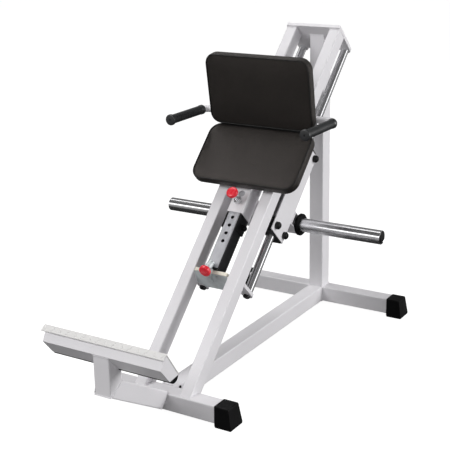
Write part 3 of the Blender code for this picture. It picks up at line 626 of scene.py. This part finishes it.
def make_knob(node, name, joint, body):
    """A mushroom knob with a knurled rim, turned about its pin's axis."""
    out = AXIS[joint]
    points = np.array(node_points(node))
    middle = (points.max(0) + points.min(0)) / 2
    along = points @ np.array(out)
    base = Vector(middle) + out * (along.min() - Vector(middle).dot(out))
    tall = along.max() - along.min()
    radius = np.linalg.norm(np.cross(points - np.array(base), np.array(out)), axis=1).max()
    # the neck at the pin, the rounded rim, then the crown with its small dimple
    profile = [(0.0, 0), (0.0, 0.0085), (0.0008, 0.0092), (0.0026, 0.0098),
               (tall * 0.20, radius - 0.0030), (tall * 0.26, radius - 0.0008),
               (tall * 0.33, radius), (tall * 0.76, radius), (tall * 0.85, radius - 0.0007),
               (tall * 0.93, radius - 0.0026), (tall * 0.975, radius * 0.74),
               (tall, radius * 0.42), (tall, 0.0030), (tall - 0.0012, 0.0020), (tall - 0.0014, 0)]

    def knurl(_, r, angle):
        cut = KNURL_DEPTH * (0.5 + 0.5 * math.cos(KNURLS * angle))
        return r - cut if r > radius - 0.0010 else r

    knob = piece(name, lathe(profile, 80, knurl), "red_knob", body, facing(base, out))
    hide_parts(node)


make_knob("upper_knob", "upper_red_knob", "upper_pin_pull", "upper_pin")
make_knob("lower_knob", "lower_red_knob", "lower_pin_pull", "lower_pin")


# ---- checker pattern on the tread -----------------------------------------------------------
TREAD_FALL = math.radians(55.8)     # the tread's fall towards the rear
TREAD = basis(Vector((0, -math.cos(TREAD_FALL), math.sin(TREAD_FALL))),
              Vector((0, math.sin(TREAD_FALL), math.cos(TREAD_FALL))))


CHECKER_PITCH = 0.0290
LENS = 0.0240              # length of a raised lens, its width and its height
LENS_WIDTH = 0.0070
LENS_HEIGHT = 0.0013
LIP_LENS = 0.0210
LENS_ROWS = ((-0.0004, 1.0), (0.0002, 1.0), (LENS_HEIGHT * 0.8, 0.72), (LENS_HEIGHT, 0.45))


def lozenge(bm, centre, along, out, length):
    """One raised lens of the checker pattern, its foot sunk in the sheet."""
    side = out.cross(along)
    rings = []
    for lift, grow in LENS_ROWS:
        ring = []
        for a in angles(10):
            lens = abs(math.sin(a)) ** 1.2 * math.copysign(1, math.sin(a))
            ring.append(bm.verts.new(centre + out * lift + along * (math.cos(a) * length / 2 * grow)
                                     + side * (lens * LENS_WIDTH / 2 * grow)))
        rings.append(ring)
    skin(bm, rings, capped=True)


def checker_pattern():
    """Rows of raised lenses on the tread, each turned against the next, and one row on its lip."""
    low, high = local_box("footplate_tread", TREAD)
    bm = bmesh.new()
    columns = int((high.x - low.x - 0.020) / CHECKER_PITCH) + 1
    rows = int((high.y - low.y - 0.016) / CHECKER_PITCH) + 1
    start = (low.x + high.x) / 2 - (columns - 1) * CHECKER_PITCH / 2
    flat, lip = Vector((0, 0, 1)), Vector((0, 1, 0))
    for k in range(columns):
        x = start + k * CHECKER_PITCH
        for row in range(rows):
            y = high.y - 0.0115 - row * CHECKER_PITCH
            turn = 1 if (k + row) % 2 else -1
            lozenge(bm, Vector((x, y, high.z)), Vector((1, turn, 0)).normalized(), flat, LENS)
        turn = 1 if k % 2 else -1
        lozenge(bm, Vector((x, high.y, high.z - 0.0120)),
                Vector((0.7, 0, turn)).normalized(), lip, LIP_LENS)
    piece("tread_checker_pattern", bm, "tread_plate", "frame", TREAD, sharp=60)


checker_pattern()


# ---- weld beads -----------------------------------------------------------------------------
BEAD = 0.0021              # radius of a bead
BEAD_STEP = 0.0011
RIPPLE = 0.16
RIPPLE_STEPS = 3


def weld(name, corners, body, turned=LEVEL, closed=True):
    """A rippled bead along straight runs between these corners."""
    corners = [Vector(c) for c in corners]
    runs = list(zip(corners, corners[1:] + corners[:1] if closed else corners[1:]))
    points = []
    for a, b in runs:
        steps = max(2, round((b - a).length / BEAD_STEP))
        points += [a.lerp(b, k / steps) for k in range(steps)]
    if not closed:
        points.append(corners[-1])
    piece(name, tube_along(points, BEAD, 6, closed, RIPPLE, RIPPLE_STEPS), "white_paint", body,
          turned)


def rectangle(axis, level, u0, u1, v0, v1):
    """Corners of a rectangle at a level of this axis. U and v are the other two axes in turn."""
    pairs = ((u0, v0), (u1, v0), (u1, v1), (u0, v1))
    if axis == "X":
        return [(level, u, v) for u, v in pairs]
    if axis == "Y":
        return [(u, level, v) for u, v in pairs]
    return [(u, v, level) for u, v in pairs]


def corner_points(node, turned, choose):
    """The CAD node's points, in the turned frame, for which choose gives the highest value."""
    points = node_points(node, turned)
    best = max(choose(p) for p in points)
    return [p for p in points if choose(p) > best - 0.0008]


def weld_frame():
    """Beads where the base rail, mast, rails, rod lugs and stop block meet the frame."""
    rail_low, rail_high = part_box("base_rail")
    mast_low, mast_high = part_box("mast")
    bar_low, bar_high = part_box("front_crossbar")
    for end, y in (("front", rail_low.y), ("rear", rail_high.y)):
        weld("weld_base_" + end,
             rectangle("Y", y, rail_low.x, rail_high.x, rail_low.z, rail_high.z), "frame")
    weld("weld_mast_foot", rectangle("Z", mast_low.z, mast_low.x, mast_high.x, mast_low.y,
                                     mast_high.y), "frame")

    plate_low, _ = local_box("top_plate", SLOPE)
    rise, run = SLOPE[2][1], SLOPE[1][1]          # sine and cosine of the slope
    across = []
    for y in (mast_low.y, mast_high.y):
        z = (plate_low.y - y * run) / rise
        across.append(-y * rise + z * run)
    weld("weld_mast_head", rectangle("Y", plate_low.y, mast_low.x, mast_high.x, *across),
         "frame", SLOPE)

    for side, _ in SIDES:
        low, high = local_box("rail_" + side, SLOPE)
        weld("weld_rail_head_" + side,
             rectangle("Y", plate_low.y, low.x, high.x, low.z, high.z), "frame", SLOPE)
        front = (bar_high.z * run - high.z) / rise     # where the rail's face meets the tube
        foot_line = [(low.x, bar_high.y, bar_high.z), (low.x, front, bar_high.z),
                     (high.x, front, bar_high.z), (high.x, bar_high.y, bar_high.z)]
        weld("weld_rail_foot_" + side, foot_line, "frame", closed=False)
        lug_low, lug_high = local_box("rod_lug_" + side, SLOPE)
        weld("weld_lug_" + side, rectangle("Z", lug_high.z, lug_low.x, lug_high.x, lug_low.y,
                                           lug_high.y), "frame", SLOPE)

    for side, sign in SIDES:
        flank = corner_points("stop_block", SLOPE, lambda p: sign * p.x)
        top = max(flank, key=lambda p: p.z)
        low = min(flank, key=lambda p: p.y + p.z)
        weld("weld_block_" + side, [low, top], "frame", SLOPE, closed=False)


def weld_footplate():
    """Beads at the arm's mitre and rear end, and where the post holds the plate."""
    post_low, post_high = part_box("footplate_post")
    half = post_high.x
    tall = node_points("footplate_post")
    back = min(p.z for p in tall if p.y > post_high.y - 0.0005)
    mitre = [(-half, post_low.y, post_low.z), (half, post_low.y, post_low.z),
             (half, post_high.y, back), (-half, post_high.y, back)]
    weld("weld_arm_mitre", mitre, "frame")
    top = max(corner_points("footplate_arm", LEVEL, lambda p: p.y), key=lambda p: p.z)
    low = min(corner_points("footplate_arm", LEVEL, lambda p: -p.z), key=lambda p: p.z)
    weld("weld_arm_end", [(-half, low.y, low.z), (-half, top.y, top.z), (half, top.y, top.z),
                          (half, low.y, low.z)], "frame", closed=False)
    rim_front = max(p.z for p in tall if p.y < post_low.y + 0.0005)
    weld("weld_post_head", [(-half, post_low.y, rim_front), (half, post_low.y, rim_front)],
         "frame", closed=False)


def weld_carriage():
    """Beads on the spine, cross tubes, sleeve crossbar, back upright and handle bar."""
    spine_low, spine_high = local_box("spine", SLOPE)
    for end in ("lower", "upper"):
        low, high = local_box("cross_tube_" + end, SLOPE)
        weld("weld_cross_spine_" + end, rectangle("Z", high.z, spine_low.x, spine_high.x,
                                                   low.y, high.y), "carriage", SLOPE)
        for side, x in (("left", low.x), ("right", high.x)):
            weld("weld_cross_%s_%s" % (end, side),
                 rectangle("X", x, low.y, high.y, low.z, high.z), "carriage", SLOPE)
    bar_low, bar_high = local_box("sleeve_crossbar", SLOPE)
    for side, _ in SIDES:
        low, high = local_box("runner_" + side, SLOPE)
        weld("weld_sleeve_bar_" + side, rectangle("Z", bar_high.z, low.x, high.x, bar_low.y,
                                                  bar_high.y), "carriage", SLOPE)
    foot = corner_points("back_upright", SLOPE, lambda p: -p.z)
    xs, ys = [p.x for p in foot], [p.y for p in foot]
    weld("weld_upright_foot", rectangle("Z", foot[0].z, min(xs), max(xs), min(ys), max(ys)),
         "carriage", SLOPE)
    low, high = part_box("handle_bar")
    upright_low, upright_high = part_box("back_upright")
    bar_r = (high.z - low.z) / 2
    for side, x in (("left", upright_low.x), ("right", upright_high.x)):
        ring = [(x, high.y - bar_r + bar_r * math.cos(a), low.z + bar_r + bar_r * math.sin(a))
                for a in angles(24)]
        weld("weld_bar_" + side, ring, "carriage")


weld_frame()
weld_footplate()
weld_carriage()


# ---- screw heads, staples and other small hardware ------------------------------------------
def socket_ring(outer, flats, height):
    """A rounded ring with a hexagonal hole, as on a socket screw's head."""
    bm = bmesh.new()
    count = 24
    rings = []
    for lift, grow, hole in ((0.0, 1.0, 1.0), (height * 0.6, 1.0, 1.0), (height, 0.90, 1.06)):
        outside, inside = [], []
        for a in angles(count):
            hexagon = flats / 2 / math.cos((a % (math.pi / 3)) - math.pi / 6)
            outside.append(bm.verts.new((outer * grow * math.cos(a), outer * grow * math.sin(a),
                                         lift)))
            inside.append(bm.verts.new((hexagon * hole * math.cos(a),
                                        hexagon * hole * math.sin(a), lift)))
        rings.append((outside, inside))
    for k in range(count):
        j = (k + 1) % count
        for (out_a, in_a), (out_b, in_b) in zip(rings, rings[1:]):
            bm.faces.new((out_a[k], out_a[j], out_b[j], out_b[k]))
            bm.faces.new((in_a[k], in_b[k], in_b[j], in_a[j]))
        bm.faces.new((rings[0][0][k], rings[0][1][k], rings[0][1][j], rings[0][0][j]))
        bm.faces.new((rings[-1][0][k], rings[-1][0][j], rings[-1][1][j], rings[-1][1][k]))
    return bm


def dome(radius, height, flare=0.0):
    """A domed screw head with a small flange."""
    profile = [(0.0, 0), (0.0, radius + flare), (0.0008, radius + flare), (0.0012, radius)]
    profile += [(0.0012 + (height - 0.0012) * math.sin(math.radians(18 * k)),
                 radius * math.cos(math.radians(18 * k))) for k in range(1, 5)]
    return lathe(profile + [(height, 0)], 28)


def bearing_screws():
    """The rounded faces of the cap screws that hold the bearing blocks."""
    for side, sign in SIDES:
        for end in ("lower", "upper"):
            points = np.array(node_points("bearing_%s_%s" % (end, side), SLOPE))
            tip = points[:, 0].max() if sign > 0 else points[:, 0].min()
            heads = points[np.abs(points[:, 0] - tip) < 0.0002]
            middle = (heads[:, 2].min() + heads[:, 2].max()) / 2
            for k, row in enumerate((heads[heads[:, 2] < middle], heads[heads[:, 2] > middle])):
                centre = Vector((tip, (row[:, 1].min() + row[:, 1].max()) / 2,
                                 (row[:, 2].min() + row[:, 2].max()) / 2))
                place = SLOPE @ facing(centre, (sign, 0, 0), Vector((0, 0, 1)))
                piece("screw_face_%s_%s_%d" % (end, side, k), socket_ring(0.0096, 0.0080, 0.0014),
                      "black_plastic", "carriage", place)


def rod_screws():
    """Socket faces of the screws under the guide rods, and the top ends above the plate."""
    _, plate_high = local_box("top_plate", SLOPE)
    for side, _ in SIDES:
        low, high = local_box("rod_nut_" + side, SLOPE)
        centre = Vector(((low.x + high.x) / 2, low.y, (low.z + high.z) / 2))
        piece("rod_screw_face_" + side, socket_ring(0.0106, 0.0090, 0.0012), "black_plastic",
              "frame", SLOPE @ facing(centre, (0, -1, 0)))
        piece("rod_top_screw_" + side, dome(0.0105, 0.0058, 0.0020), "black_plastic", "frame",
              SLOPE @ facing(Vector((centre.x, plate_high.y, centre.z)), (0, 1, 0)))


def board_fixings(node, turned):
    """Screws near the corners and a row of staples round the edge of a pad's board."""
    low, high = local_box(node, turned)
    up = Vector((0, 0, -1))
    screws = [(x, y) for x in (low.x + 0.060, high.x - 0.060)
              for y in (low.y + 0.045, high.y - 0.045)]
    for k, (x, y) in enumerate(screws):
        piece("%s_screw_%d" % (node, k), dome(0.0060, 0.0036, 0.0030), "zinc", "carriage",
              turned @ facing(Vector((x, y, low.z)), up))
    bm = bmesh.new()
    loop = pad_loop(low, high, 0.0110, 0.032, EDGE_COUNTS)
    for p, ahead in even_path(loop, 0.026):
        along = Vector((ahead.x, ahead.y, 0)) * 0.0052
        middle = Vector((p.x, p.y, low.z)) + up * 0.0004
        thread(bm, middle - along, middle + along, up, 0.0006)
    piece(node + "_staples", bm, "zinc", "carriage", turned)


def base_rail_screws():
    """A screw on each side of the base rail, behind the front crossbar."""
    _, bar_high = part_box("front_crossbar")
    rail_low, rail_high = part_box("base_rail")
    for side, sign, x in (("left", -1, rail_low.x), ("right", 1, rail_high.x)):
        centre = Vector((x, bar_high.y + 0.0120, rail_high.z - 0.0060))
        piece("base_rail_screw_" + side, dome(0.0052, 0.0055, 0.0012), "black_plastic", "frame",
              facing(centre, (sign, 0, 0), Vector((0, 0, 1))))


def glide_screw_face():
    low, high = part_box("glide_screw")
    centre = Vector((high.x, (low.y + high.y) / 2, (low.z + high.z) / 2))
    piece("glide_screw_face", socket_ring(0.0064, 0.0052, 0.0012), "black_plastic", "carriage",
          facing(centre, (1, 0, 0), Vector((0, 0, 1))))


def sleeve_ends():
    """A domed cap in the end of each plate sleeve, and a rounded rim round it."""
    for side, sign in SIDES:
        low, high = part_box("sleeve_plug_" + side)
        centre = Vector((high.x if sign > 0 else low.x, (low.y + high.y) / 2,
                         (low.z + high.z) / 2))
        piece("sleeve_cap_" + side, dome(0.0180, 0.0022), "black_plastic", "carriage",
              facing(centre, (sign, 0, 0), Vector((0, 0, 1))))
    for side, sign in SIDES:
        low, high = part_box("sleeve_" + side)
        middle, radius = (low + high) / 2, (high.z - low.z) / 2 - 0.0014
        ring = [Vector((high.x if sign > 0 else low.x, middle.y + radius * math.cos(a),
                        middle.z + radius * math.sin(a))) for a in angles(48)]
        piece("sleeve_rim_" + side, tube_along(ring, 0.0013, 8, True), "pin_steel", "carriage")


def barrel_bands():
    """A raised band near each end of the lower pin's barrel."""
    out = AXIS["lower_pin_pull"]
    points = np.array(node_points("pin_barrel"))
    along = points @ np.array(out)
    centre = Vector((points.max(0) + points.min(0)) / 2)
    for k, share in enumerate((0.16, 0.84)):
        spot = centre + out * (along.min() + share * (along.max() - along.min())
                               - centre.dot(out))
        band = ((-0.0016, 0.0100), (-0.0012, 0.0124), (0.0012, 0.0124), (0.0016, 0.0100))
        bm = bmesh.new()
        rings = [[bm.verts.new((r * math.cos(a), r * math.sin(a), z)) for a in angles(40)]
                 for z, r in band]
        skin(bm, rings, closed=True)
        piece("barrel_band_%d" % k, bm, "plain_steel", "frame", facing(spot, out))


def lining_strip():
    """A strip of lining behind the seat's rear end, where the two pads meet."""
    low, high = local_box("seat_pad", SLOPE)
    bm = bmesh.new()
    bmesh.ops.create_cube(bm, size=1.0)
    wide, deep, tall = high.x - low.x - 0.070, 0.0080, high.z - low.z - 0.014
    bmesh.ops.scale(bm, vec=(wide, deep, tall), verts=bm.verts)
    bmesh.ops.translate(bm, vec=((low.x + high.x) / 2, high.y + 0.0004 + deep / 2,
                                 low.z + tall / 2), verts=bm.verts)
    bmesh.ops.bevel(bm, geom=bm.edges[:], offset=0.0015, segments=2, affect="EDGES")
    piece("pad_lining", bm, "board", "carriage", SLOPE)


lining_strip()
bearing_screws()
rod_screws()
board_fixings("seat_board", SLOPE)
board_fixings("back_board", LEAN)
base_rail_screws()
glide_screw_face()
sleeve_ends()
barrel_bands()


# ---- studio: floor, lights, camera ----------------------------------------------------------
CAMERA_AT = Vector((1.8796, -3.0141, 1.6471))
CAMERA_AZIMUTH = math.radians(32.17)     # how far the view turns from +Y towards -X
CAMERA_DOWN = math.radians(17.70)
CAMERA_ROLL = math.radians(-1.24)
FOCAL_PER_WIDTH = 1085.3 / 450     # focal length over the picture's width
SENSOR = 36.0                      # millimetres
FLOOR_GLOW = 0.95
AMBIENT = 0.20
LIGHTS_AIM = Vector((0, 0, 0.5))
STRIP_LENGTH = 6.0
STRIP_DISTANCE = 4.5
# height of a reflected direction, from straight down to straight up, and its brightness
REFLECTED = ((0.0, 0.02), (0.30, 0.05), (0.41, 0.38), (0.56, 0.38), (0.66, 0.16), (1.0, 0.13))


def by_ray(tree, kind, other, matching):
    """Mixes two shaders: the second is what rays of this kind see."""
    seen = tree.nodes.new("ShaderNodeLightPath")
    mix = tree.nodes.new("ShaderNodeMixShader")
    tree.links.new(seen.outputs[kind], mix.inputs["Fac"])
    tree.links.new(other, mix.inputs[1])
    tree.links.new(matching, mix.inputs[2])
    return mix.outputs[0]


def make_floor():
    """A pale floor that stays white to the camera. Reflections see the world's low grey."""
    bm = bmesh.new()
    bmesh.ops.create_grid(bm, x_segments=1, y_segments=1, size=60.0)
    mesh = bpy.data.meshes.new("floor")
    bm.to_mesh(mesh)
    bm.free()
    floor = bpy.data.objects.new("floor", mesh)
    floor.location.z = -0.0004
    bpy.context.scene.collection.objects.link(floor)
    mat = bpy.data.materials.new("pale_floor")
    mat.use_nodes = True
    tree = mat.node_tree
    matt = tree.nodes["Principled BSDF"]
    matt.inputs["Base Color"].default_value = (0.25, 0.25, 0.25, 1)
    matt.inputs["Roughness"].default_value = 0.9
    matt.inputs["Specular IOR Level"].default_value = 0.1
    glow = tree.nodes.new("ShaderNodeEmission")
    glow.inputs["Color"].default_value = (1, 1, 1, 1)
    glow.inputs["Strength"].default_value = FLOOR_GLOW
    lit = tree.nodes.new("ShaderNodeAddShader")
    tree.links.new(matt.outputs[0], lit.inputs[0])
    tree.links.new(glow.outputs[0], lit.inputs[1])
    tree.links.new(by_ray(tree, "Is Camera Ray", matt.outputs[0], lit.outputs[0]),
                   tree.nodes["Material Output"].inputs["Surface"])
    mesh.materials.append(mat)
    floor.visible_glossy = False


# the chromed bars, which only the strips light
BARS = [frame["nodes"][kind + side] for kind in ("sleeve_", "guide_rod_") for side, _ in SIDES]


def place_light(name, direction, distance, width, height, power, twist, only=None):
    """An area light aimed at the machine. It reaches only these objects, or else all but the
    chromed bars."""
    data = bpy.data.lights.new(name, "AREA")
    data.shape = "RECTANGLE"
    data.size = width
    data.size_y = height
    data.energy = power
    light = bpy.data.objects.new(name, data)
    out = Vector(direction).normalized()
    light.matrix_world = facing(LIGHTS_AIM + out * distance, out, twist)
    bpy.context.scene.collection.objects.link(light)
    seen_by = bpy.data.collections.new(name + "_receivers")
    for obj in only or BARS:
        seen_by.objects.link(obj)
    for item in seen_by.collection_objects:
        item.light_linking.link_state = "INCLUDE" if only else "EXCLUDE"
    light.light_linking.receiver_collection = seen_by


def softbox(name, direction, distance, size, level, only=None):
    """A square light. Level is its share of a white surface's brightness."""
    power = level * math.pi ** 2 * distance ** 2
    place_light(name, direction, distance, size, size, power, ACROSS, only)


def strip(name, direction, width, level, along):
    """A long, dim light that only the chromed bars see, so that their streaks stay narrow."""
    power = level * math.pi * STRIP_LENGTH * width
    place_light(name, direction, STRIP_DISTANCE, STRIP_LENGTH, width, power, along, BARS)


def make_world():
    """White behind the machine, a low grey all round it, and a bright band in reflections."""
    world = bpy.data.worlds.new("studio")
    bpy.context.scene.world = world
    world.use_nodes = True
    tree = world.node_tree
    shades = []
    for level in (AMBIENT, 1.0, 1.0):
        ground = tree.nodes.new("ShaderNodeBackground")
        ground.inputs["Color"].default_value = (level, level, level, 1)
        shades.append(ground)
    towards = tree.nodes.new("ShaderNodeTexCoord")
    height = tree.nodes.new("ShaderNodeSeparateXYZ")
    share = tree.nodes.new("ShaderNodeMapRange")
    share.inputs["From Min"].default_value = -1.0
    ramp = tree.nodes.new("ShaderNodeValToRGB")
    tree.links.new(towards.outputs["Generated"], height.inputs[0])
    tree.links.new(height.outputs["Z"], share.inputs["Value"])
    tree.links.new(share.outputs["Result"], ramp.inputs["Fac"])
    tree.links.new(ramp.outputs["Color"], shades[1].inputs["Color"])
    stops = ramp.color_ramp.elements
    while len(stops) < len(REFLECTED):
        stops.new(0.5)
    for stop, (at, level) in zip(stops, REFLECTED):
        stop.position = at
        stop.color = (level, level, level, 1)
    glossy = by_ray(tree, "Is Glossy Ray", shades[0].outputs[0], shades[1].outputs[0])
    tree.links.new(by_ray(tree, "Is Camera Ray", glossy, shades[2].outputs[0]),
                   tree.nodes["World Output"].inputs["Surface"])


def make_camera():
    """A camera at the photograph's viewing angle."""
    data = bpy.data.cameras.new("camera")
    data.sensor_width = SENSOR
    data.lens = SENSOR * FOCAL_PER_WIDTH
    camera = bpy.data.objects.new("camera", data)
    turn = (Matrix.Rotation(CAMERA_AZIMUTH, 4, "Z")
            @ Matrix.Rotation(math.pi / 2 - CAMERA_DOWN, 4, "X")
            @ Matrix.Rotation(CAMERA_ROLL, 4, "Z"))
    camera.matrix_world = Matrix.Translation(CAMERA_AT) @ turn
    bpy.context.scene.collection.objects.link(camera)
    bpy.context.scene.camera = camera


make_floor()
softbox("main", (-0.45, -0.70, 0.56), 4.5, 2.0, 0.46)
softbox("hair", (-0.35, 0.20, 0.91), 4.0, 2.2, 0.37)
softbox("right", (0.90, 0.28, 0.22), 4.5, 2.0, 0.68)
softbox("fill", (0.45, -0.80, 0.40), 4.5, 2.5, 0.18)
softbox("seat_sheen", (-0.55, -0.33, 0.77), 4.5, 1.5, 0.14854,
        [bpy.data.objects["seat_cushion"]])
strip("front_strip", (-0.507, -0.805, 0.304), 0.70, 1.9, ACROSS)
strip("top_strip", (-0.45, 0.25, 0.86), 0.90, 1.5, ACROSS)
strip("side_strip", (0.90, 0.28, 0.22), 1.1, 1.8, AXIS["carriage_slide"])
make_world()
make_camera()
bpy.context.scene.view_settings.view_transform = "Standard"
